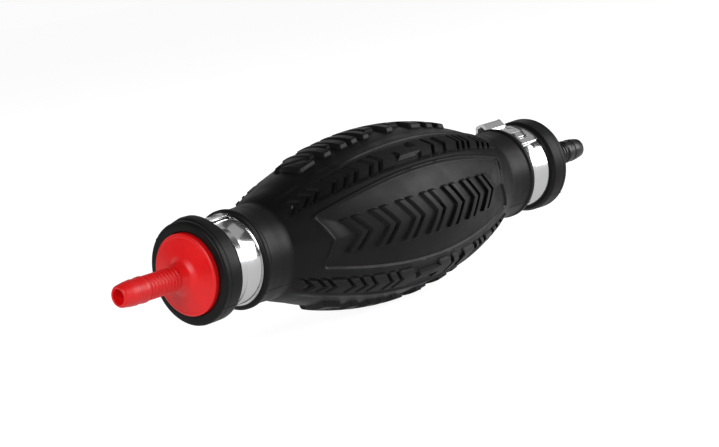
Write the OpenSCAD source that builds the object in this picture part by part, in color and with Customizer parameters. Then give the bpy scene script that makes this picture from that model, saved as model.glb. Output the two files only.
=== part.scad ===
// In-line hand primer bulb with barbed hose ends and two check valves.
// The axis lies along X and liquid flows towards +X.
// The origin is the centre of the bulb, the label-side panel faces -Y and the grip treads face +Z and -Z.

/* [Bulb] */
// Radius of the smooth bulb at its middle
belly_r = 24.8; // [22:0.1:26]
// Radius of the long arc that gives the bulb its barrel shape
barrel_arc_r = 112; // [106:1:118]
// Thickness of the rubber wall
wall = 3; // [2.5:0.1:3.5]
// Height of the tread lugs above the bulb
lug_h = 0.7; // [0.5:0.1:1.5]
// Angle that the tread covers around the bulb
tread_angle = 37; // [30:1:50]

/* [Neck] */
// Distance from the middle to the crease between bulb and neck
crease_x = 49.5; // [49:0.1:50]
// Radius of the neck beside the crease
neck_r = 13.6; // [13:0.1:14]
// Radius of the thin collar beside the clamp
collar_r = 13.9; // [13.5:0.1:14.2]
// Radius of the rubber under the clamp
seat_r = 11.6; // [11.3:0.1:11.9]
// Radius of the end flange
flange_r = 14.25; // [13.8:0.05:14.5]
// Radius of the bore inside the neck
neck_bore_r = 9.6; // [9.3:0.1:9.8]
// Distance from the middle to the inner edge of the clamp seat
seat_x = 59.5; // [59:0.1:60]
// Width of the clamp seat
seat_w = 9; // [8.5:0.1:9.5]
// Distance from the middle to the face of the end flange
flange_x = 75.4; // [75:0.1:76]

/* [Squeeze walls] */
// Half the length of each squeeze wall
wall_half_l = 38; // [34:1:40]
// Half the height of each squeeze wall
wall_half_h = 13.5; // [11:0.5:14]
// Gap all round each squeeze wall
wall_gap = 0.3; // [0.3:0.05:0.5]

/* [Hose fittings] */
// Radius of the domed disc
disc_r = 11.3; // [11:0.1:11.5]
// Distance from the middle to the edge of the disc's face
disc_x = 76.6; // [76.2:0.1:77]
// Distance from the middle to the tip of the barb
tip_x = 100.6; // [99:0.1:102]
// Radius of the barb over its fine rings
ring_r = 3.4; // [3.3:0.05:3.5]
// Radius of the larger lip that grips the hose
lip_r = 3.6; // [3.55:0.05:3.8]
// Radius of the hole through the barb
port_r = 2.1; // [1.9:0.05:2.3]
// Number of fine rings on the barb
ring_count = 9; // [6:1:10]
// Distance between the rings
ring_pitch = 1.2; // [1.1:0.05:1.25]

/* [Clamps] */
// Thickness of the steel strip
strip_t = 0.6; // [0.5:0.05:0.7]
// Width of the steel strip
strip_w = 8.8; // [8.4:0.1:8.9]
// Height of the crimped ear above the strip
ear_h = 3.8; // [3:0.1:4]

/* [Check valves] */
// Radius of the port in the valve seat
seat_port_r = 3.2; // [3:0.1:3.5]
// Radius of the valve chamber
chamber_r = 7; // [6.8:0.1:7.2]
// Radius of the poppet's head
poppet_r = 5; // [4.6:0.1:5.2]
// Radius of the poppet's stem
stem_r = 1.2; // [1:0.05:1.3]
// Running clearance between stem and guide
stem_gap = 0.05; // [0.03:0.01:0.08]
// Radius of the spring wire
wire_r = 0.22; // [0.2:0.01:0.24]
// Number of turns of the spring
spring_turns = 4; // [3:0.5:4]

/* [Hidden] */
$fn = 96;

rubber = "#1c1c1e";
black_plastic = "#262628";
red_plastic = "#dc1c1c";
steel = "#d8d8da";
white_plastic = "#e8e6dc";
seal_rubber = "#303034";

// A hair of room between pieces that only touch
touch = 0.02;
// How far shapes run past each other before a cut or inside a join
over = 0.5;

arc_h = barrel_arc_r - belly_r;
flange_back_x = seat_x + seat_w;
collar_w = 1;
recess_x = 72.9;
spigot_end_x = 67.4;
gasket_t = 0.8;
strainer_t = 0.6;
web_t = 2;
head_t = 1.6;
seal_t = 0.8;
spring_l = 4.4;
cage_t = 2;
// Length of the plain land on the barb's lip
lip_land = 1;
inlet_body_x = spigot_end_x - gasket_t - strainer_t;
inlet_body_end_x = 52;
outlet_body_x = 52;
outlet_body_end_x = spigot_end_x - gasket_t;
// Where the downstream face of each valve seat lies
inlet_seat_x = -61;
outlet_seat_x = 55;

// The treads: each lug is [position along the axis, width]
tread_lugs = [[-30.2, 5.6], [-22, 2.8], [-15.3, 2.6], [-10.7, 2.4], [-5.9, 2.4], [4.6, 2.8],
    [10, 2.2], [16.4, 4.4], [23, 2.8], [28.6, 2.4]];

// Radius of the barrel at a distance x from the middle
function barrel(x) = sqrt(barrel_arc_r * barrel_arc_r - x * x) - arc_h;
// Stations along the barrel, from the inlet end to the outlet end
function stations(end, step) = let (n = ceil(2 * end / step)) [for (i = [0:n]) -end + 2 * end * i / n];
// Mirrors a half outline, given as [radius, x] from the middle outwards, onto the inlet side
function mirrored(half) = [for (i = [len(half) - 1:-1:0]) [half[i][0], -half[i][1]]];

// Turns a [radius, x] outline about the X axis
module turned() {
    rotate([0, 90, 0]) rotate_extrude() children();
}

// Turns an outline about the X axis from one angle to another; 0 faces -Y and 90 faces +Z
module turned_arc(from, to) {
    rotate([0, 90, 0]) rotate([0, 0, -90 - to]) rotate_extrude(angle = to - from) children();
}

// Puts a shape drawn for the outlet end at the inlet end
module at_end(side) {
    if (side > 0) children();
    else mirror([1, 0, 0]) children();
}

module tube(from, to, r, bore = 0) {
    turned() translate([bore, from]) square([r - bore, to - from]);
}

// ---- Bulb ----

module bulb_outline() {
    belly = [for (x = stations(46.5, 5)) [barrel(x), x]];
    neck = [[neck_r, crease_x], [neck_r - 0.3, seat_x - collar_w], [collar_r, seat_x - collar_w + 0.2],
        [collar_r, seat_x], [seat_r, seat_x], [seat_r, flange_back_x],
        [flange_r - 0.9, flange_back_x], [flange_r - 0.9, flange_back_x + 0.9],
        [flange_r, flange_back_x + 1.5], [flange_r, flange_x - 0.8], [flange_r - 0.8, flange_x]];
    polygon(concat([[0, -flange_x]], mirrored(neck), belly, neck, [[0, flange_x]]));
}

module cavity_outline() {
    inner = [for (x = stations(45, 5)) [barrel(x) - wall, x]];
    polygon(concat([[0, -50.5], [neck_bore_r, -50.5]], inner, [[neck_bore_r, 50.5], [0, 50.5]]));
}

module bulb_blank() {
    difference() {
        turned() bulb_outline();
        turned() cavity_outline();
        tube(-flange_x - over, flange_x + over, neck_bore_r);
        tube(recess_x, flange_x + over, disc_r + touch);
        tube(-flange_x - over, -recess_x, disc_r + touch);
    }
}

// Lens-shaped block that reaches out to one side; grow widens it all round
module wall_block(side, grow) {
    lens_r = (wall_half_l * wall_half_l + wall_half_h * wall_half_h) / (2 * wall_half_h);
    off = lens_r - wall_half_h;
    rotate([90, 0, 0]) translate([0, 0, side > 0 ? 0 : -40]) linear_extrude(40) intersection() {
        translate([0, off]) circle(lens_r + grow);
        translate([0, -off]) circle(lens_r + grow);
    }
}

module tread(middle) {
    for (lug = tread_lugs)
        turned_arc(middle - tread_angle / 2, middle + tread_angle / 2)
            translate([barrel(lug[0]) - over, lug[0] - lug[1] / 2]) square([lug_h + over, lug[1]]);
}

module bulb_shell() {
    color(rubber) difference() {
        union() {
            bulb_blank();
            tread(90);
            tread(-90);
        }
        wall_block(1, wall_gap);
        wall_block(-1, wall_gap);
    }
}

module front_squeeze_wall() {
    color(rubber) intersection() {
        bulb_blank();
        wall_block(1, 0);
    }
}

module back_squeeze_wall() {
    color(rubber) intersection() {
        bulb_blank();
        wall_block(-1, 0);
    }
}

// ---- Hose fittings, drawn for the outlet end ----

module fitting_outline() {
    first_ring_x = tip_x - 19.7;
    root = 0.25;
    disc = [[disc_r, recess_x + touch], [disc_r, disc_x - 0.5], [disc_r - 0.5, disc_x],
        [disc_r - 1.3, disc_x + 0.1], [5, disc_x + 1.3], [4.1, disc_x + 2.4], [ring_r, disc_x + 4]];
    rings = [for (i = [0:ring_count - 1]) let (x = first_ring_x + i * ring_pitch)
        each [[ring_r - root, x], [ring_r, x + 0.3], [ring_r, x + 0.7], [ring_r - root, x + 1]]];
    lip_x = first_ring_x + ring_count * ring_pitch + 0.5;
    barb = [[ring_r - root, lip_x - 0.3], [lip_r, lip_x], [lip_r, lip_x + lip_land], [lip_r - 0.25, lip_x + 3.3],
        [lip_r - 0.05, lip_x + 3.4], [lip_r - 0.55, tip_x - 0.4], [lip_r - 0.85, tip_x]];
    polygon(concat([[port_r, spigot_end_x], [neck_bore_r - touch, spigot_end_x],
        [neck_bore_r - touch, recess_x + touch]], disc, rings, barb, [[port_r, tip_x]]));
}

module inlet_fitting() {
    color(red_plastic) at_end(-1) turned() fitting_outline();
}

module outlet_fitting() {
    color(black_plastic) turned() fitting_outline();
}

// ---- Clamps: one strip, lapped once, with a crimped ear ----

// A block across the strip at an angle around it, between two radii
module across_strip(angle, from_r, to_r, width, length) {
    rotate([-angle, 0, 0]) translate([-length / 2, -to_r, -width / 2]) cube([length, to_r - from_r, width]);
}

// The strip laps itself from lap_end to the ear, and its hook shows in a window
module clamp(middle_x, ear_at, lap_end) {
    band_r = seat_r + touch;
    lap_r = band_r + strip_t;
    lap = ear_at - lap_end;
    lap_from = min(ear_at, lap_end);
    lap_to = max(ear_at, lap_end);
    window_at = lap_end + lap * 0.25;
    hook_at = lap_end + lap * 0.32;
    translate([middle_x, 0, 0]) {
        difference() {
            union() {
                tube(-strip_w / 2, strip_w / 2, lap_r, band_r);
                turned_arc(lap_from, lap_to)
                    translate([lap_r - touch, -strip_w / 2]) square([strip_t + touch, strip_w]);
            }
            across_strip(window_at, lap_r, lap_r + 2, 5, 4);
        }
        across_strip(hook_at, lap_r - 0.3, lap_r + strip_t + 0.2, 1.6, 3);
        // The ear stands on the strip as a folded bridge, open through its width
        rotate([-ear_at, 0, 0]) translate([strip_w / 2, -lap_r, 0]) rotate([0, -90, 0])
            linear_extrude(strip_w) rotate(90) difference() {
                ear_solid();
                ear_hollow();
            }
    }
}

module ear_solid() {
    half = 2.6;
    corner = 1;
    translate([-half, -0.3]) square([2 * half, ear_h - corner + 0.3]);
    translate([-half + corner, 0]) square([2 * (half - corner), ear_h]);
    for (side = [-1, 1]) translate([side * (half - corner), ear_h - corner]) circle(corner, $fn = 32);
}

module ear_hollow() {
    half = 2;
    corner = 0.4;
    translate([-half, 0.2]) square([2 * half, ear_h - strip_t - corner - 0.2]);
    translate([-half + corner, 0.2]) square([2 * (half - corner), ear_h - strip_t - 0.2]);
    for (side = [-1, 1]) translate([side * (half - corner), ear_h - strip_t - corner]) circle(corner, $fn = 32);
}

module inlet_clamp() {
    color(steel) clamp(-(seat_x + seat_w / 2), 146, 78);
}

module outlet_clamp() {
    color(steel) clamp(seat_x + seat_w / 2, 108, 40);
}

// ---- Check valves ----

module valve_body(from, to, seat_face_x) {
    difference() {
        tube(from + touch, to, neck_bore_r - touch);
        tube(from - over, seat_face_x - web_t, chamber_r);
        tube(seat_face_x, to + over, chamber_r);
        tube(from - over, to + over, seat_port_r);
    }
}

module poppet(seat_face_x) {
    head_x = seat_face_x + touch + seal_t;
    tube(head_x, head_x + head_t, poppet_r);
    tube(head_x + head_t - over, head_x + head_t + spring_l + 2.6, stem_r);
    tube(head_x - seal_t - 0.5, head_x + over, 1.5);
    tube(head_x - seal_t - 0.9, head_x - seal_t - touch, 2);
}

module poppet_seal(seat_face_x) {
    tube(seat_face_x + touch, seat_face_x + seal_t, poppet_r - 0.2, 1.5 + touch);
}

module spring_cage(seat_face_x) {
    cage_x = seat_face_x + touch + seal_t + head_t + spring_l;
    hub_r = 3;
    rim_t = 1.2;
    difference() {
        union() {
            tube(cage_x, cage_x + cage_t, chamber_r - touch, chamber_r - rim_t);
            tube(cage_x, cage_x + cage_t, hub_r);
            for (turn = [0, 120, 240]) rotate([turn, 0, 0])
                translate([cage_x, -0.7, hub_r - over]) cube([cage_t, 1.4, chamber_r - hub_r]);
        }
        tube(cage_x - over, cage_x + cage_t + over, stem_r + stem_gap);
    }
}

// A wire of wire_r wound along X from one x to another
module coil(from, to, mean_r) {
    sides = 8;
    per_turn = 16;
    rings = spring_turns * per_turn;
    points = [for (i = [0:rings], j = [0:sides - 1])
        let (a = 360 * i / per_turn, b = 360 * j / sides, r = mean_r + wire_r * cos(b))
        [from + (to - from) * i / rings + wire_r * sin(b), r * cos(a), r * sin(a)]];
    sides_faces = [for (i = [0:rings - 1], j = [0:sides - 1])
        [i * sides + j, (i + 1) * sides + j, (i + 1) * sides + (j + 1) % sides, i * sides + (j + 1) % sides]];
    start_face = [[for (j = [0:sides - 1]) j]];
    end_face = [[for (j = [sides - 1:-1:0]) rings * sides + j]];
    polyhedron(points, concat(start_face, sides_faces, end_face), convexity = 10);
}

module valve_spring(seat_face_x) {
    start = seat_face_x + touch + seal_t + head_t;
    coil(start + wire_r + touch, start + spring_l - wire_r - touch, 2.1);
}

module gasket(from) {
    tube(from + touch, from + gasket_t, neck_bore_r - touch, port_r + 2.4);
}

module inlet_strainer() {
    color(steel) difference() {
        tube(-spigot_end_x + touch, -spigot_end_x + strainer_t, neck_bore_r - touch);
        for (ring = [0:2], i = [0:max(0, ring * 6 - 1)])
            rotate([360 * i / max(1, ring * 6), 0, 0])
                translate([-spigot_end_x - over, 0, ring * 1.7]) rotate([0, 90, 0]) cylinder(r = 0.55, h = 2, $fn = 24);
    }
}

module inlet_gasket() { color(seal_rubber) gasket(-spigot_end_x + strainer_t); }

module inlet_valve_body() {
    color(white_plastic) valve_body(-inlet_body_x, -inlet_body_end_x, inlet_seat_x);
}

module inlet_poppet() { color(white_plastic) poppet(inlet_seat_x); }

module inlet_poppet_seal() { color(seal_rubber) poppet_seal(inlet_seat_x); }

module inlet_spring() { color(steel) valve_spring(inlet_seat_x); }

module inlet_spring_cage() { color(white_plastic) spring_cage(inlet_seat_x); }

module outlet_gasket() { color(seal_rubber) gasket(outlet_body_end_x); }

module outlet_valve_body() {
    color(white_plastic) valve_body(outlet_body_x, outlet_body_end_x, outlet_seat_x);
}

module outlet_poppet() { color(white_plastic) poppet(outlet_seat_x); }

module outlet_poppet_seal() { color(seal_rubber) poppet_seal(outlet_seat_x); }

module outlet_spring() { color(steel) valve_spring(outlet_seat_x); }

module outlet_spring_cage() { color(white_plastic) spring_cage(outlet_seat_x); }

bulb_shell();
front_squeeze_wall();
back_squeeze_wall();
inlet_fitting();
inlet_clamp();
inlet_strainer();
inlet_gasket();
inlet_valve_body();
inlet_poppet();
inlet_poppet_seal();
inlet_spring();
inlet_spring_cage();
outlet_fitting();
outlet_clamp();
outlet_gasket();
outlet_valve_body();
outlet_poppet();
outlet_poppet_seal();
outlet_spring();
outlet_spring_cage();
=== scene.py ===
"""In-line hand primer bulb: the visible pieces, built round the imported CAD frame, in millimetres."""
import math

import bpy
import numpy as np
from mathutils import Matrix, Vector


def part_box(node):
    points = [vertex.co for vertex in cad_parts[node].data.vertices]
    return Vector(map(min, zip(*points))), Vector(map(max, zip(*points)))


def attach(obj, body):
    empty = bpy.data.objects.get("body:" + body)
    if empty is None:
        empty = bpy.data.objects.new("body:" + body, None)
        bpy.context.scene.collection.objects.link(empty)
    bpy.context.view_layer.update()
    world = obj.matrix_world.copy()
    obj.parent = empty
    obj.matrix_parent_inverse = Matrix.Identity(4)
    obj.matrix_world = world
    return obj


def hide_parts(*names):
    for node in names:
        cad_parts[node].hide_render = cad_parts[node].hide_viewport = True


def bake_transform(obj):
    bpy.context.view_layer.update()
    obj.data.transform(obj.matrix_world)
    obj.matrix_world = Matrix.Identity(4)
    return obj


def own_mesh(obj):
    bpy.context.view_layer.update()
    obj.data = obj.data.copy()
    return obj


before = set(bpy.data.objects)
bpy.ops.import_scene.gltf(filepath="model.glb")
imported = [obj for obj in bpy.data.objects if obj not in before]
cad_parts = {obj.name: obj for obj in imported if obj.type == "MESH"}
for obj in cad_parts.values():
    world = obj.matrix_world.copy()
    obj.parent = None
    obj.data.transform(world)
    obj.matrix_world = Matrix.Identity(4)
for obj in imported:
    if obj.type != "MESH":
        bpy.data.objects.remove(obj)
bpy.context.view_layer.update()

MM = 0.001


def box_mm(node):
    """Lowest and highest corner of a CAD node, in millimetres."""
    low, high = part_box(node)
    return np.array(low) / MM, np.array(high) / MM


# ---- Sizes read from the frame ----
SHELL_LOW, SHELL_HIGH = box_mm("bulb_shell")
CLAMP_LOW, CLAMP_HIGH = box_mm("outlet_clamp")
FITTING_LOW, FITTING_HIGH = box_mm("outlet_fitting")
FLANGE_X = SHELL_HIGH[0]
BELLY_R = -box_mm("front_squeeze_wall")[0][1]
STRIP_W = CLAMP_HIGH[0] - CLAMP_LOW[0]
CLAMP_X = (CLAMP_HIGH[0] + CLAMP_LOW[0]) / 2
TIP_X = FITTING_HIGH[0]
SPIGOT_X = FITTING_LOW[0]
DISC_R = FITTING_HIGH[1]
FLOOR_Z = SHELL_LOW[2]
LUG_H = SHELL_HIGH[2] - BELLY_R

# ---- Sizes of the rubber moulding ----
BARREL_ARC_R = 112.0
WALL_T = 3.0
NECK_R = 13.6
COLLAR_R = 13.95
SEAT_R = 11.6
FLANGE_R = 14.25
BORE_R = 9.6
RECESS_X = 72.9
BORE_END_X = 50.5
# One grid step along the bulb, which every groove and lug edge keeps to
STEP = 1 / 3
# Angles from the middle of a side panel, in degrees
PANEL_ANGLE = 31.0
MOTIF_ANGLE = 13.5
STRIP_ANGLE = 44.25
STRIP_HALF = 7.25
CREST_ANGLE = 56.5
TREAD_ANGLE = 72.0
TREAD_FAR_ANGLE = 101.0
# Degrees in an arc as long as its radius
ARC_DEGREES = 57.3
# Patterns along the bulb, as (start, width)
GROOVES = [(at, 1) for at in
    (-45.2, -41.8, -38.5, -32.5, -28.7, -25, -19.4, -15.6, 19.6, 22.6, 25.6, 31.2, 34.6, 38)]
MOTIFS = [(-33.3 + 9.3 * i + gap, 2) for i in range(7) for gap in (0, 3.67)]
PADS = [(-60, 50.67), (14, 29)]
ARROW_SHAFT = [(-7.33, 9.33)]
ARROW_HEADS = [(2, 4.67), (8.33, 2.33)]
NEAR_LUGS = [(-33, 5.6), (-23.4, 2.8), (-16.6, 2.6), (-11.9, 2.4), (-7.1, 2.4), (3.2, 2.8), (14.2, 4.4),
    (21.6, 2.8), (27.4, 2.4)]
FAR_LUGS = [(-26.3, 1.8), (-19.4, 1.8), (-2.6, 3.4), (8, 3.6)]
# Heights and depths of the patterns
CREST_H = 0.4
MOTIF_H = 0.95
PANEL_STEP = 0.35
PANEL_SINK = 0.8
PAD_H = 0.85
GROOVE_DEPTH_IN_PADS = 2.4
CHANNEL_DEPTH = 0.4
VALLEY_DEPTH = 0.6
SEAM_H = 0.16
FLANGE_BULGE = 0.8

# ---- Sizes of the plastic and steel pieces ----
PORT_R = 2.1
RING_R = 3.4
RING_ROOT_R = 3.12
LIP_R = 3.6
STRIP_T = 0.6
STRIP_RIM_W = 1.7
STRIP_RIM_H = 0.42
BAND_R = SEAT_R + 0.02
EAR_H = 3.8
SPRING_L = 4.4


# ---- Small helpers ----
def smooth(t):
    """Smooth step from 0 to 1 as t goes from 0 to 1."""
    t = np.clip(t, 0, 1)
    return t * t * (3 - 2 * t)


def rounded(corners, closed, steps):
    """The outline through corners (x, r, fillet radius), with an arc at each corner that has a radius."""
    points = []
    count = len(corners)
    for i, (x, r, fillet) in enumerate(corners):
        here = np.array([x, r], float)
        if fillet <= 0 or (not closed and i in (0, count - 1)):
            points.append(here)
            continue
        before = np.array(corners[i - 1][:2]) - here
        after = np.array(corners[(i + 1) % count][:2]) - here
        room = 0.49 * min(np.linalg.norm(before), np.linalg.norm(after))
        before /= np.linalg.norm(before)
        after /= np.linalg.norm(after)
        half = math.acos(np.clip(before @ after, -1, 1)) / 2
        reach = min(fillet / math.tan(half), room)
        radius = reach * math.tan(half)
        bisector = (before + after) / np.linalg.norm(before + after)
        centre = here + bisector * radius / math.sin(half)
        start, end = here + before * reach - centre, here + after * reach - centre
        turn = math.acos(np.clip(start @ end / radius**2, -1, 1))
        for k in range(steps + 1):
            w = k / steps
            swept = math.sin((1 - w) * turn) * start + math.sin(w * turn) * end
            points.append(centre + swept / math.sin(turn))
    return np.array(points)


def make_piece(name, points, faces, material, sharp=35):
    """A mesh piece from points in millimetres."""
    mesh = bpy.data.meshes.new(name)
    mesh.from_pydata((np.asarray(points) * MM).tolist(), [], faces)
    mesh.validate()
    mesh.update()
    mesh.polygons.foreach_set("use_smooth", [True] * len(mesh.polygons))
    mesh.set_sharp_from_angle(angle=math.radians(sharp))
    mesh.materials.append(material)
    piece = bpy.data.objects.new(name, mesh)
    bpy.context.scene.collection.objects.link(piece)
    return piece


def grid_faces(rows, columns, wrap_rows=False, wrap_columns=False):
    """Quads of a grid of rows by columns points, numbered row by row."""
    faces = []
    for i in range(rows if wrap_rows else rows - 1):
        a, b = i * columns, (i + 1) % rows * columns
        for j in range(columns if wrap_columns else columns - 1):
            k = (j + 1) % columns
            faces.append((a + j, b + j, b + k, a + k))
    return faces


def around(x, r, angle):
    """Points at a distance x along the axis, r from it, and an angle in degrees from -Y towards +Z."""
    a = np.radians(angle)
    return np.stack(np.broadcast_arrays(x, -r * np.cos(a), r * np.sin(a)), -1)


def lathe(name, outline, material, side=1, steps=160):
    """A closed outline of (x, r) points, turned about the X axis. side -1 puts it at the inlet end."""
    angles = np.arange(steps) * 360 / steps
    points = around(outline[:, :1] * side, outline[:, 1:], angles[None, :])
    faces = grid_faces(len(outline), steps, True, True)
    if side > 0:
        faces = [f[::-1] for f in faces]
    return make_piece(name, points.reshape(-1, 3), faces, material)


# ---- Materials ----
# The range of a noise pattern that is spread over the values between two limits
PATTERN_LOW = 0.3
PATTERN_HIGH = 0.7


def new_material(name, color, roughness, metallic=0.0):
    """A material and its shader, with its plain values set."""
    material = bpy.data.materials.new(name)
    material.use_nodes = True
    shader = material.node_tree.nodes["Principled BSDF"]
    shader.inputs["Base Color"].default_value = (*color, 1)
    shader.inputs["Roughness"].default_value = roughness
    shader.inputs["Metallic"].default_value = metallic
    return material, shader


def noise(material, scale, detail=3.0, stretch=(1, 1, 1)):
    """A noise pattern's value output; scale is in cells per metre."""
    nodes, links = material.node_tree.nodes, material.node_tree.links
    place = nodes.new("ShaderNodeTexCoord")
    mapping = nodes.new("ShaderNodeMapping")
    mapping.inputs["Scale"].default_value = stretch
    pattern = nodes.new("ShaderNodeTexNoise")
    pattern.inputs["Scale"].default_value = scale
    pattern.inputs["Detail"].default_value = detail
    links.new(place.outputs["Object"], mapping.inputs["Vector"])
    links.new(mapping.outputs["Vector"], pattern.inputs["Vector"])
    return pattern.outputs["Fac"]


def spread(material, value, low, high):
    """Maps a pattern's middle range to low..high."""
    node = material.node_tree.nodes.new("ShaderNodeMapRange")
    node.inputs["From Min"].default_value = PATTERN_LOW
    node.inputs["From Max"].default_value = PATTERN_HIGH
    node.inputs["To Min"].default_value = low
    node.inputs["To Max"].default_value = high
    material.node_tree.links.new(value, node.inputs["Value"])
    return node.outputs["Result"]


def tint(material, shader, value, first, second):
    """Colours the surface between two colours by a pattern."""
    ramp = material.node_tree.nodes.new("ShaderNodeValToRGB")
    ramp.color_ramp.elements[0].position = PATTERN_LOW
    ramp.color_ramp.elements[1].position = PATTERN_HIGH
    ramp.color_ramp.elements[0].color = (*first, 1)
    ramp.color_ramp.elements[1].color = (*second, 1)
    material.node_tree.links.new(value, ramp.inputs["Fac"])
    material.node_tree.links.new(ramp.outputs["Color"], shader.inputs["Base Color"])


def bump(material, shader, layers):
    """Adds surface relief from (pattern, strength, depth in millimetres) layers."""
    nodes, links = material.node_tree.nodes, material.node_tree.links
    last = None
    for value, strength, depth in layers:
        node = nodes.new("ShaderNodeBump")
        node.inputs["Strength"].default_value = strength
        node.inputs["Distance"].default_value = depth * MM
        links.new(value, node.inputs["Height"])
        if last:
            links.new(last, node.inputs["Normal"])
        last = node.outputs["Normal"]
    links.new(last, shader.inputs["Normal"])


def rubber_material(name, base=0.004, rough=0.4):
    """Moulded rubber: a fine grain, faint flow marks and an uneven sheen, duller where "matt" is 1."""
    material, shader = new_material(name, (base, base, base * 1.1), rough)
    shader.inputs["Specular IOR Level"].default_value = 0.22
    cloud = noise(material, 90, 4)
    tint(material, shader, cloud, (base * 0.8,) * 3, (base * 1.35, base * 1.35, base * 1.5))
    nodes, links = material.node_tree.nodes, material.node_tree.links
    matt = nodes.new("ShaderNodeAttribute")
    matt.attribute_name = "matt"
    uneven = nodes.new("ShaderNodeMath")
    uneven.operation = "MAXIMUM"
    links.new(spread(material, noise(material, 240, 5), rough - 0.05, rough + 0.07), uneven.inputs[0])
    links.new(matt.outputs["Fac"], uneven.inputs[1])
    links.new(uneven.outputs["Value"], shader.inputs["Roughness"])
    bump(material, shader, [(noise(material, 260, 3), 0.2, 0.05), (noise(material, 5200, 2), 0.12, 0.01)])
    return material


def uneven_roughness(material, shader, pattern, low, high):
    """Varies the roughness from low to high by a pattern."""
    material.node_tree.links.new(spread(material, pattern, low, high), shader.inputs["Roughness"])


def plastic_material(name, color, rough):
    """Injection-moulded plastic: a near-even colour with faint clouding and a fine satin grain."""
    material, shader = new_material(name, color, rough)
    darker = tuple(c * 0.88 for c in color)
    tint(material, shader, noise(material, 150, 3), darker, color)
    uneven_roughness(material, shader, noise(material, 420, 4), rough - 0.04, rough + 0.06)
    bump(material, shader, [(noise(material, 300, 2), 0.15, 0.03)])
    return material


def steel_material(name, rough, stretch):
    """Rolled stainless: fine scratches along the strip, slight waviness and faint smudges."""
    material, shader = new_material(name, (0.78, 0.78, 0.79), rough, 1.0)
    tint(material, shader, noise(material, 70, 4), (0.74, 0.74, 0.75), (0.82, 0.82, 0.83))
    uneven_roughness(material, shader, noise(material, 300, 5, stretch), rough * 0.7, rough * 1.8)
    waviness, scratches = noise(material, 110, 2), noise(material, 700, 3, stretch)
    bump(material, shader, [(waviness, 0.06, 0.05), (scratches, 0.1, 0.004)])
    return material


def light_or_seen(tree, light, seen, socket):
    """Gives a brightness socket one level for the light it casts and another as the camera sees it."""
    path = tree.nodes.new("ShaderNodeLightPath")
    level = tree.nodes.new("ShaderNodeMapRange")
    level.inputs["To Min"].default_value = light
    level.inputs["To Max"].default_value = seen
    tree.links.new(path.outputs["Is Camera Ray"], level.inputs["Value"])
    tree.links.new(level.outputs["Result"], socket)


def floor_material():
    """A plain pale floor: partly self-lit, so that it stays even out to the horizon."""
    material, shader = new_material("pale_floor", (0.4, 0.4, 0.4), 0.8)
    shader.inputs["Specular IOR Level"].default_value = 0.1
    tint(material, shader, noise(material, 30, 3), (0.39, 0.39, 0.39), (0.41, 0.41, 0.41))
    shader.inputs["Emission Color"].default_value = (1, 1, 1, 1)
    light_or_seen(material.node_tree, FLOOR_GLOW, FLOOR_SEEN, shader.inputs["Emission Strength"])
    return material


RUBBER = rubber_material("bulb_rubber")
SEAL = rubber_material("seal_rubber", 0.012, 0.5)
RED = plastic_material("red_plastic", (0.9, 0.006, 0.008), 0.35)
BLACK = plastic_material("black_plastic", (0.006, 0.006, 0.007), 0.3)
NATURAL = plastic_material("valve_plastic", (0.78, 0.76, 0.68), 0.4)
CLAMP_STEEL = steel_material("clamp_steel", 0.12, (6, 1, 1))
WIRE_STEEL = steel_material("spring_steel", 0.25, (1, 1, 1))
MESH_STEEL = steel_material("mesh_steel", 0.3, (1, 4, 4))


# ---- The rubber bulb ----
def barrel(x):
    """Radius of the smooth bulb at a distance x from its middle."""
    return np.sqrt(BARREL_ARC_R**2 - x**2) - (BARREL_ARC_R - BELLY_R)


def crease_x():
    """Where the barrel has come down to the neck's radius."""
    drop = BELLY_R - NECK_R
    return math.sqrt(2 * BARREL_ARC_R * drop - drop**2)


def neck_path():
    """The outlet neck's outer line, from the crease to the recess floor."""
    seat_in, seat_out = CLAMP_X - STRIP_W / 2 - 0.1, CLAMP_X + STRIP_W / 2 + 0.1
    corners = [
        (crease_x(), NECK_R, 0), (53.5, NECK_R - 0.2, 3), (seat_in - 2.2, NECK_R - 0.1, 0.8),
        (seat_in - 1.5, COLLAR_R, 0.5), (seat_in - 0.4, COLLAR_R, 0.5), (seat_in, COLLAR_R - 0.7, 0.3),
        (seat_in, SEAT_R, 0.2), (seat_out, SEAT_R, 0.2), (seat_out, FLANGE_R - 0.8, 0.3),
        (seat_out + 1.2, FLANGE_R - 0.1, 1), (FLANGE_X - 2.2, FLANGE_R, 0.3),
        (FLANGE_X - 1.8, FLANGE_R - 0.1, 0.3), (FLANGE_X - 1.4, FLANGE_R, 0.3),
        (FLANGE_X, FLANGE_R, 0.8), (FLANGE_X, DISC_R + 0.1, 0.3),
        (RECESS_X, DISC_R + 0.1, 0), (RECESS_X, BORE_R, 0), (BORE_END_X, BORE_R, 0)]
    path = rounded(corners, False, 4)
    # long straight stretches get points in between, so that the rows stay even
    full = [path[0]]
    for point in path[1:]:
        gap = np.linalg.norm(point - full[-1])
        pieces = max(1, round(gap / 1.6))
        start = full[-1]
        full += [start + (point - start) * k / pieces for k in range(1, pieces + 1)]
    return np.array(full)


def panel_columns():
    """Angles of the grid's columns: they meet every crest, groove tip and pad edge."""
    stops = [(0, 18), (MOTIF_ANGLE, 10), (22, 22), (PANEL_ANGLE + 0.5, 8), (STRIP_ANGLE - STRIP_HALF, 11),
        (STRIP_ANGLE, 11), (STRIP_ANGLE + STRIP_HALF, 9), (57.5, 9), (TREAD_ANGLE - 4, 8),
        (TREAD_ANGLE + 1, 14), (90, 0)]
    half = []
    for (start, count), (stop, _) in zip(stops, stops[1:]):
        half += [start + (stop - start) * k / count for k in range(count)]
    half.append(90)
    return np.array([-a for a in half[:0:-1]] + half)


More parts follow.
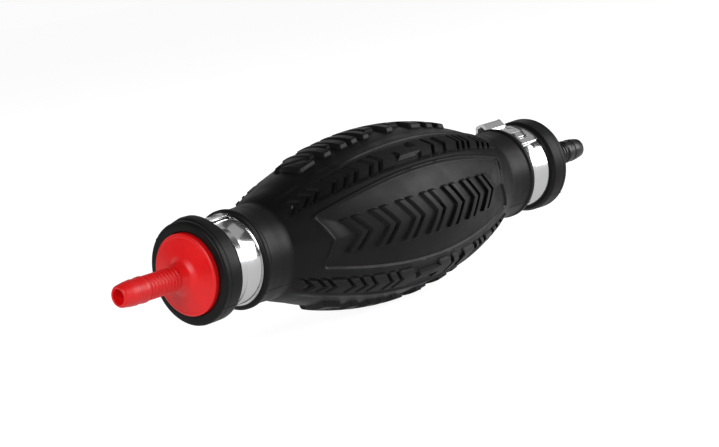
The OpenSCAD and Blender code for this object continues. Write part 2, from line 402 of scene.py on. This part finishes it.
def chevron_shift(u, angle):
    """How far each column's rows lean towards the outlet, so that they follow the chevrons."""
    a = np.abs(angle)
    lean = np.interp(a, [0, MOTIF_ANGLE, STRIP_ANGLE - STRIP_HALF, STRIP_ANGLE, STRIP_ANGLE + STRIP_HALF, 90],
        [4.6, 0, 0, 2.7, 0, 0])
    return lean * smooth((47.5 - np.abs(u)) / 3)


def bars(u, spans):
    """1 inside the spans (start, width) along u and 0 outside, with edges one grid step wide."""
    level = np.zeros_like(u)
    for start, width in spans:
        first = round(start / STEP) * STEP
        last = first + round(width / STEP) * STEP
        level = np.maximum(level, np.clip(np.minimum(u - first, last - u) / STEP + 1, 0, 1))
    return level


def thin_crest(distance, width):
    """A narrow rounded ridge."""
    return CREST_H * np.exp(-((distance / width) ** 2))


def panel_relief(x, angle, per_mm, motif):
    """The sunk side panel with its thin crest, and the raised chevrons on it."""
    a = np.abs(angle)
    edge = PANEL_ANGLE - 6.5 * (x / 41) ** 2
    end = 40.8 - 3.6 * np.clip(1 - a / 24, 0, 1)
    inside_edge = (edge - a) / per_mm
    inside_end = (end - np.abs(x)) * 0.88
    corner = 1.3
    inside = np.where((inside_edge < corner) & (inside_end < corner),
        corner - np.hypot(corner - inside_edge, corner - inside_end), np.minimum(inside_edge, inside_end))
    deeper = PANEL_SINK * smooth((np.abs(x) - 6) / 30)
    floor_level = -PANEL_STEP * smooth(inside / 0.5) - deeper * smooth(inside / 6)
    return thin_crest(inside + 0.3, 0.3) + floor_level + MOTIF_H * motif


def strip_relief(x, u, angle, per_mm):
    """The chevron pads in their shallow channel, and the arrow between them."""
    off = np.abs(np.abs(angle) - STRIP_ANGLE)
    a = np.abs(angle)
    along = smooth((48.6 - np.abs(x)) / 3.5)
    channel = smooth((a - (STRIP_ANGLE - STRIP_HALF - 2.2)) / (1.2 * per_mm))
    channel = channel * smooth((CREST_ANGLE - 0.3 - a) / (1.9 * per_mm))
    on_strip = np.clip((STRIP_HALF - off) / 0.7 + 1, 0, 1)
    on_shaft = np.clip((2.6 - off) / 0.7 + 1, 0, 1)
    pads = bars(u, PADS) * (1 - GROOVE_DEPTH_IN_PADS * bars(u, GROOVES))
    arrow = np.maximum(bars(u, ARROW_SHAFT) * on_shaft, bars(u, ARROW_HEADS))
    level = np.maximum(pads, arrow) * on_strip
    crest = thin_crest(a - CREST_ANGLE, 0.35 * per_mm) * smooth((x + 30) / 14) * smooth((44 - x) / 6)
    return along * (PAD_H * level - CHANNEL_DEPTH * channel) + crest


def tread_relief(x, u, angle, per_mm, side):
    """The interleaved lugs of the grip tread, and the smooth valley beside it."""
    a = np.abs(angle)
    across = a if side > 0 else 180 - a
    valley = -VALLEY_DEPTH * smooth((a - CREST_ANGLE) / 8) * smooth((48 - np.abs(x)) / 8)
    edge = 0.8 * per_mm
    near = smooth((across - TREAD_ANGLE) / edge + 0.5) * smooth((TREAD_FAR_ANGLE - across) / edge + 0.5)
    far = smooth((across - 180 + TREAD_FAR_ANGLE) / edge + 0.5)
    far = far * smooth((180 - TREAD_ANGLE - across) / edge + 0.5)
    slot = np.clip(1.8 - np.abs(u + 29 + (across - 80) * 0.24) / 0.45, 0, 1) * smooth((across - 76) / 1.5)
    high = np.maximum(bars(u, NEAR_LUGS) * near * (1 - slot), bars(u, FAR_LUGS) * far)
    return valley + (LUG_H + VALLEY_DEPTH) * high


def belly_rows():
    """Distances of the grid's rows along the bulb, on whole steps except at the creases."""
    end = crease_x()
    u = np.linspace(-end, end, 2 * round(end / STEP) + 1)
    return np.where(np.abs(u) < end - 1, np.round(u / STEP) * STEP, u)


def belly_points(u, angle, side):
    """The bulb's outer skin between the creases, with its panel, strips and tread."""
    x = u + chevron_shift(u, angle)
    base = barrel(x)
    per_mm = ARC_DEGREES / base
    motif = bars(u, MOTIFS) * np.clip((MOTIF_ANGLE - np.abs(angle)) / 0.75 + 1, 0, 1)
    relief = panel_relief(x, angle, per_mm, motif) + strip_relief(x, u, angle, per_mm)
    relief = relief + tread_relief(x, u, angle, per_mm, side)
    relief = relief * smooth((crease_x() - np.abs(x)) / 1.2)
    return around(x, base + relief, angle)


def neck_rows(side, angle):
    """The inlet neck's and the outlet neck's outer skin, with the mould's parting seam."""
    neck = neck_path()[1:]
    x, r = neck[:, :1], neck[:, 1:]
    seam = SEAM_H * np.exp(-(((angle + STRIP_ANGLE * side) / 0.7) ** 2))
    near_skin = (neck[:, 1] > SEAT_R + 1)[:, None]
    outlet = around(x, r + seam[None, :] * near_skin, angle[None, :])
    # the inlet's clamp lap pushes the back of the flange up a little
    turned = angle if side > 0 else 180 - angle
    pushed = FLANGE_BULGE * np.exp(-(((turned - 100) / 26) ** 2))[None, :]
    pushed = pushed * smooth((FLANGE_X - 1.6 - x) / 1.4) * (x > CLAMP_X + STRIP_W / 2 + 0.5) * near_skin
    inlet = around(-x, r + seam[None, :] * near_skin + pushed, angle[None, :])[::-1]
    return inlet, outlet


def half_bulb(name, side):
    """One half of the moulding, between the middles of the two treads; side 1 is the front half."""
    angle = panel_columns()
    belly_u, belly_a = np.meshgrid(belly_rows(), angle, indexing="ij")
    inlet, outlet = neck_rows(side, angle)
    inner_x = np.linspace(45, -45, 30)
    inner = around(inner_x[:, None], barrel(inner_x)[:, None] - WALL_T, angle[None, :])
    rows = np.concatenate([inlet, belly_points(belly_u, belly_a, side), outlet, inner])
    if side < 0:
        rows = rows * np.array([1, -1, 1])
    count, width = rows.shape[:2]
    faces = grid_faces(count, width, True, False)
    first = [i * width for i in range(count)]
    last = [i * width + width - 1 for i in range(count)]
    faces += [tuple(first), tuple(last[::-1])]
    if side > 0:
        faces = [f[::-1] for f in faces]
    piece = make_piece(name, rows.reshape(-1, 3), faces, RUBBER, 75)
    # the grooves keep the mould's matt finish
    matt = np.zeros((count, width))
    in_strip = np.abs(np.abs(belly_a) - STRIP_ANGLE) < STRIP_HALF
    matt[len(inlet):len(inlet) + len(belly_u)] = np.clip(4 * bars(belly_u, GROOVES), 0, 1) * in_strip
    values = matt.ravel().astype(np.float32)
    piece.data.attributes.new("matt", "FLOAT", "POINT").data.foreach_set("value", values)
    return piece


def rubber_bulb():
    """The moulding as a front and a back half, in place of the CAD shell and its two squeeze walls."""
    for name, side, wall in (("bulb_front_half", 1, "front"), ("bulb_back_half", -1, "back")):
        piece = half_bulb(name, side)
        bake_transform(piece)
        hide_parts("bulb_shell", wall + "_squeeze_wall")


# ---- Hose fittings ----
def fitting_outline():
    """Half section of a fitting at the outlet end: spigot, domed disc, ringed shank and two-step tip."""
    corners = [(SPIGOT_X, PORT_R, 0.2), (SPIGOT_X, BORE_R - 0.02, 0.3), (RECESS_X + 0.02, BORE_R - 0.02, 0),
        (RECESS_X + 0.02, DISC_R, 0.2), (76.45, DISC_R, 0.35), (76.75, DISC_R - 0.7, 0.3),
        (76.72, DISC_R - 1.1, 0.4),
        (77.6, 5.6, 3), (78.5, 4.2, 1.5), (80.2, RING_R, 1)]
    rings = 9
    pitch = 1.2
    first = TIP_X - 19.7
    for i in range(rings):
        x = first + i * pitch
        corners += [(x, RING_ROOT_R, 0.12), (x + 0.3, RING_R, 0.12), (x + 0.7, RING_R, 0.12),
            (x + 1, RING_ROOT_R, 0.12)]
    lip = first + rings * pitch + 0.5
    corners += [(lip - 0.3, RING_ROOT_R, 0.1), (lip, LIP_R, 0.15), (lip + 1, LIP_R, 0.4),
        (lip + 3.2, LIP_R - 0.28, 0.15), (lip + 3.4, LIP_R - 0.05, 0.15), (lip + 5.5, LIP_R - 0.22, 1),
        (TIP_X - 0.5, LIP_R - 0.6, 0.5),
        (TIP_X, LIP_R - 1, 0.25), (TIP_X, PORT_R, 0.2)]
    return rounded(corners, True, 4)


def hose_fittings():
    """The red inlet fitting and the black outlet fitting, from one outline."""
    outline = fitting_outline()
    for end, side, material in (("inlet", -1, RED), ("outlet", 1, BLACK)):
        piece = lathe(end + "_hose_fitting", outline, material, side)
        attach(piece, "root")
        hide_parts(end + "_fitting")


# ---- Ear clamps ----
def rim(x):
    """How far the strip's surface turns up towards its two rims, x from its middle."""
    part = np.clip((np.abs(x) - STRIP_W / 2 + STRIP_RIM_W) / STRIP_RIM_W, 0, 1)
    return STRIP_RIM_H * part**1.6


def curved_plate(name, angles, xs, inner_r, outer_r, middle_x, window=None):
    """A plate bent round the axis, with an optional window of (first angle, last angle, first x, last x)."""
    angles, xs = np.array(angles, float), np.array(xs, float)
    rows, columns = len(angles), len(xs)
    lift = rim(xs)[None, :]
    outer = around(middle_x + xs[None, :], outer_r + lift, angles[:, None]).reshape(-1, 3)
    inner = around(middle_x + xs[None, :], inner_r + lift, angles[:, None]).reshape(-1, 3)

    def open_cell(i, j):
        if not (0 <= i < rows - 1 and 0 <= j < columns - 1):
            return True
        if window is None:
            return False
        a, x = (angles[i] + angles[i + 1]) / 2, (xs[j] + xs[j + 1]) / 2
        return window[0] < a < window[1] and window[2] < x < window[3]

    faces = []
    low = rows * columns
    for i in range(rows - 1):
        for j in range(columns - 1):
            if open_cell(i, j):
                continue
            a, d = i * columns + j, (i + 1) * columns + j
            b, c = a + 1, d + 1
            faces += [(a, b, c, d), (a + low, d + low, c + low, b + low)]
            edges = ((a, b, (i - 1, j)), (b, c, (i, j + 1)), (c, d, (i + 1, j)), (d, a, (i, j - 1)))
            for start, stop, beside in edges:
                if open_cell(*beside):
                    faces.append((stop, start, start + low, stop + low))
    piece = make_piece(name, np.concatenate([outer, inner]), faces, CLAMP_STEEL)
    edge_bevel(piece, 0.12)
    return piece


def edge_bevel(piece, width):
    """Rounds the sharp edges of a piece."""
    bevel = piece.modifiers.new("soft_edges", "BEVEL")
    bevel.width = width * MM
    bevel.segments = 2
    bevel.limit_method = "ANGLE"
    bevel.angle_limit = math.radians(40)
    bevel.harden_normals = True


def ear_strip(name, middle_x, at):
    """The crimped ear: the strip folded up into a bridge, pinched at its foot."""
    half = STRIP_T / 2
    line = rounded([(-5, half, 0), (-2.3, half, 0.5), (-2.0, EAR_H * 0.35, 1.2), (-0.9, EAR_H - half, 0.6),
        (0.9, EAR_H - half, 0.6), (2.0, EAR_H * 0.35, 1.2), (2.3, half, 0.5), (5, half, 0)], False, 6)
    along = np.gradient(line, axis=0)
    along /= np.linalg.norm(along, axis=1)[:, None]
    normal = np.stack([-along[:, 1], along[:, 0]], 1)
    loop = np.concatenate([line + normal * half, (line - normal * half)[::-1]])
    base_r = BAND_R + STRIP_T
    # the strip's flat feet follow the band round
    angle = at + np.degrees(loop[:, 0] / base_r)
    xs = np.array([-STRIP_W / 2, STRIP_W / 2])
    points = around(middle_x + xs[:, None], (base_r + loop[:, 1])[None, :], angle[None, :])
    count = len(loop)
    faces = [f[::-1] for f in grid_faces(2, count, False, True)]
    ends = [tuple(range(count)), tuple(range(2 * count - 1, count - 1, -1))]
    piece = make_piece(name, points.reshape(-1, 3), faces + ends, CLAMP_STEEL)
    edge_bevel(piece, 0.1)
    return piece


def clamp_pieces(end, side, ear_at, lap_end):
    """One clamp: the band, the lap with its window and hook, and the ear."""
    middle = side * CLAMP_X
    half = STRIP_W / 2
    band = rounded([(-half, BAND_R, 0.1), (half, BAND_R, 0.1), (half, BAND_R + STRIP_T, 0.15),
        (half - 1.6, BAND_R + STRIP_T, 3), (1.6 - half, BAND_R + STRIP_T, 3),
        (-half, BAND_R + STRIP_T, 0.15)], True, 6)
    band[:, 1] += rim(band[:, 0])
    band[:, 0] += middle
    band_piece = lathe(end + "_clamp_band", band, CLAMP_STEEL, 1, 240)
    turn = 1 if ear_at > lap_end else -1
    first, last = sorted((ear_at, lap_end))
    hook_low, hook_high = sorted((lap_end + turn * 9, lap_end + turn * 25))
    steps = sorted(set(np.round(np.linspace(first, last, 33), 3)) | {hook_low, hook_high})
    lap_r = BAND_R + STRIP_T
    window = (hook_low, hook_high, -2, 2)
    near_rim = np.linspace(-half, STRIP_RIM_W - half, 7)
    far_rim = np.linspace(half - STRIP_RIM_W, half, 7)
    xs = np.concatenate([near_rim, [-2, 0, 2], far_rim])
    lap = curved_plate(end + "_clamp_lap", steps, xs, lap_r, lap_r + STRIP_T, middle, window)
    hook_from, hook_to = sorted((lap_end + turn * 14, lap_end + turn * 24))
    hook_angles = np.linspace(hook_from, hook_to, 7)
    rise = np.linspace(0, 0.45, 7)[:, None] if turn > 0 else np.linspace(0.45, 0, 7)[:, None]
    hook_r = lap_r + 0.35 + rise
    hook = curved_plate(end + "_clamp_hook", hook_angles, [-1.5, 0, 1.5], lap_r - 0.05, hook_r, middle)
    ear = ear_strip(end + "_clamp_ear", middle, ear_at)
    for piece in (band_piece, lap, hook, ear):
        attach(piece, "root")
        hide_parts(end + "_clamp")


# ---- Pieces inside ----
def valve_spring(end):
    """A coil spring between a poppet's head and its cage."""
    to_x = box_mm(end + "_spring_cage")[0][0]
    from_x = to_x - SPRING_L
    wire_r = 0.22
    coil_r = 2.1
    turns = 4
    per_turn = 28
    sides = 10
    count = turns * per_turn + 1
    t = np.arange(count)
    turn = 2 * np.pi * t / per_turn
    x = np.linspace(from_x + wire_r, to_x - wire_r, count)
    side = np.arange(sides) * 2 * np.pi / sides
    r = coil_r + wire_r * np.cos(side)[None, :]
    along = x[:, None] + wire_r * np.sin(side)[None, :]
    points = np.stack([along, r * np.cos(turn)[:, None], r * np.sin(turn)[:, None]], -1)
    faces = grid_faces(count, sides, False, True)
    faces += [tuple(range(sides)), tuple(range(count * sides - 1, (count - 1) * sides - 1, -1))]
    piece = make_piece(end + "_valve_spring", points.reshape(-1, 3), faces, WIRE_STEEL)
    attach(piece, "root")
    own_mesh(piece)
    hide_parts(end + "_spring")


def dress_cad_nodes():
    """Gives the CAD pieces that stay their materials."""
    finishes = {"strainer": MESH_STEEL, "gasket": SEAL, "valve_body": NATURAL, "poppet": NATURAL,
        "poppet_seal": SEAL, "spring_cage": NATURAL}
    for node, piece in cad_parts.items():
        finish = finishes.get(node.split("_", 1)[1])
        if finish:
            piece.data.materials.clear()
            piece.data.materials.append(finish)


# ---- Studio ----
# The camera's angles are in degrees and its distances in metres
CAMERA_AZIMUTH = -46.82
CAMERA_ELEVATION = 7.34
CAMERA_ROLL = -10.42
CAMERA_DISTANCE = 0.6304
CAMERA_SHIFT_RIGHT = -0.00418
CAMERA_SHIFT_UP = -0.0028
CAMERA_LENS = 109.07
# Brightness of the surround and of the floor's own glow, as they light the object and as the camera sees them
SURROUND = 0.07
BACKGROUND = 0.97
FLOOR_GLOW = 0.42
FLOOR_SEEN = 0.93
FLOOR_HALF_SIZE = 6.0
FLOOR_GAP = 0.0002


def photo_camera():
    """The camera at the photograph's viewing angle."""
    a, e = math.radians(CAMERA_AZIMUTH), math.radians(CAMERA_ELEVATION)
    roll = math.radians(CAMERA_ROLL)
    back = Vector((math.sin(a) * math.cos(e), -math.cos(a) * math.cos(e), math.sin(e)))
    level = Vector((math.cos(a), math.sin(a), 0))
    upright = back.cross(level)
    right = level * math.cos(roll) + upright * math.sin(roll)
    up = back.cross(right)
    data = bpy.data.cameras.new("photo_camera")
    data.lens = CAMERA_LENS
    data.clip_start = 0.01
    data.clip_end = 50
    camera = bpy.data.objects.new("photo_camera", data)
    camera.rotation_mode = "QUATERNION"
    camera.rotation_quaternion = Matrix((right, up, back)).transposed().to_quaternion()
    camera.location = back * CAMERA_DISTANCE + right * CAMERA_SHIFT_RIGHT + up * CAMERA_SHIFT_UP
    bpy.context.scene.collection.objects.link(camera)
    bpy.context.scene.camera = camera


def floor():
    """A wide floor under the lowest lugs."""
    size = FLOOR_HALF_SIZE
    corners = [(-size, -size), (size, -size), (size, size), (-size, size)]
    mesh = bpy.data.meshes.new("floor")
    mesh.from_pydata([(x, y, FLOOR_Z * MM - FLOOR_GAP) for x, y in corners], [], [(0, 1, 2, 3)])
    mesh.materials.append(floor_material())
    piece = bpy.data.objects.new("floor", mesh)
    bpy.context.scene.collection.objects.link(piece)


def area_light(name, place, size, power, target=(0, 0, 0)):
    """A square soft light that faces the object."""
    data = bpy.data.lights.new(name, "AREA")
    data.shape = "SQUARE"
    data.size = size
    data.energy = power
    light = bpy.data.objects.new(name, data)
    light.location = place
    light.rotation_mode = "QUATERNION"
    light.rotation_quaternion = (Vector(target) - Vector(place)).to_track_quat("-Z", "Y")
    bpy.context.scene.collection.objects.link(light)


def sky():
    """A dim even surround for the lighting, seen as plain white behind the object."""
    world = bpy.data.worlds.new("studio")
    bpy.context.scene.world = world
    world.use_nodes = True
    shine = world.node_tree.nodes["Background"]
    shine.inputs["Color"].default_value = (1, 1, 1, 1)
    light_or_seen(world.node_tree, SURROUND, BACKGROUND, shine.inputs["Strength"])


rubber_bulb()
hose_fittings()
clamp_pieces("inlet", -1, ear_at=146, lap_end=78)
clamp_pieces("outlet", 1, ear_at=108, lap_end=40)
valve_spring("inlet")
valve_spring("outlet")
dress_cad_nodes()
photo_camera()
floor()
sky()
area_light("front_right_box", (0.92, -0.9, 0.3), 1.1, 15, (0, 0, 0.1))
area_light("top_right_card", (0.9, -0.15, 0.95), 0.8, 0.6)
area_light("back_right_card", (0.9, 0.8, 0.45), 0.8, 0.7)
area_light("back_fill", (-0.3, 1.3, 0.7), 0.8, 1.2)
area_light("left_box", (-1.05, -0.35, 0.5), 0.7, 8)
bpy.context.scene.view_settings.view_transform = "Standard"
